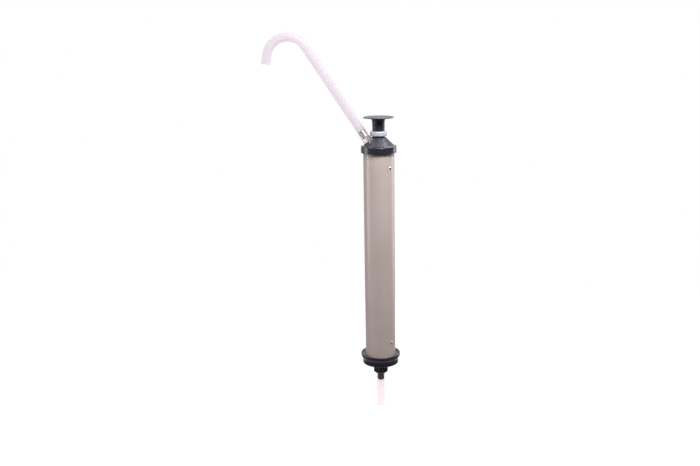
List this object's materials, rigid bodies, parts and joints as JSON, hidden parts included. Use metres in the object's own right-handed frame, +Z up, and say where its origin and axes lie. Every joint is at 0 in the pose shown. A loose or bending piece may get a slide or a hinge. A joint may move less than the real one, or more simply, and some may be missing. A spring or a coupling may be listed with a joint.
{
  "type": "bilge pump",
  "caption": "Hand-operated lift pump for bilges: long round barrel, pull knob on a rod, leaning hooked discharge spout at the top cap and a stub of suction tube under the base cap.",
  "frame": {"origin": "on the barrel's axis, halfway between the two caps, at the centre of the band that a bulkhead clip holds", "axes": "+Z up along the barrel towards the knob, -X towards the spout, -Y towards the user in front"},
  "size_m": [0.2158, 0.0654, 0.6278],
  "materials": {
    "pvc_pipe": "extruded taupe PVC, satin",
    "black_moulding": "injection-moulded black ABS, glossy",
    "black_fitting": "injection-moulded black nylon",
    "black_knob": "injection-moulded black polypropylene, satin",
    "milky_tube": "extruded milky flexible-grade PVC, translucent",
    "white_nylon": "turned natural nylon",
    "ptfe": "turned PTFE",
    "nitrile_rubber": "moulded nitrile",
    "nickel_plate": "nickel-plated brass, bright",
    "stainless_bar": "ground stainless bar",
    "stainless_screw": "cold-headed stainless",
    "turned_brass": "knurled turned brass",
    "acetal": "machined white acetal"
  },
  "bodies": {
    "root": {"barrel_tube": "pvc_pipe", "base_cap": "black_moulding", "base_cap_oring": "nitrile_rubber", "base_cap_screws": "stainless_screw", "foot_valve_pin": "stainless_screw", "foot_valve_seat": "acetal", "gland_nut": "white_nylon", "inlet_fitting": "black_fitting", "inlet_lock_nut": "black_fitting", "inlet_washer": "nitrile_rubber", "outlet_fitting": "nickel_plate", "outlet_washer": "nitrile_rubber", "rod_bush": "ptfe", "rod_seal": "nitrile_rubber", "suction_tube": "milky_tube", "top_cap": "black_moulding", "top_cap_oring": "nitrile_rubber", "top_cap_screws": "stainless_screw", "upstroke_buffer": "nitrile_rubber"},
    "spout": {"spout_tube": "milky_tube"},
    "plunger": {"knob": "black_knob", "knob_insert": "turned_brass", "piston_rod": "stainless_bar", "piston_body": "acetal", "piston_cup": "nitrile_rubber", "valve_sleeve": "acetal", "valve_stop_washer": "stainless_screw", "rod_circlip": "stainless_screw", "piston_washer": "stainless_screw", "piston_nut": "stainless_screw"},
    "piston_valve": {"piston_valve_disc": "nitrile_rubber"},
    "foot_valve": {"foot_valve_disc": "nitrile_rubber"}
  },
  "joints": [
    {"name": "plunger_slide", "type": "slide", "parent": "root", "child": "plunger", "axis": [0, 0, 1], "range_m": [0, 0.257]},
    {"name": "piston_valve_lift", "type": "slide", "parent": "plunger", "child": "piston_valve", "axis": [0, 0, 1], "range_m": [0, 0.0045]},
    {"name": "foot_valve_lift", "type": "slide", "parent": "root", "child": "foot_valve", "axis": [0, 0, 1], "range_m": [0, 0.0049]},
    {"name": "spout_swivel", "type": "hinge", "parent": "root", "child": "spout", "pos_m": [-0.02374, 0, 0.19809], "axis": [-0.5432, 0, 0.8396], "continuous": true}
  ]
}
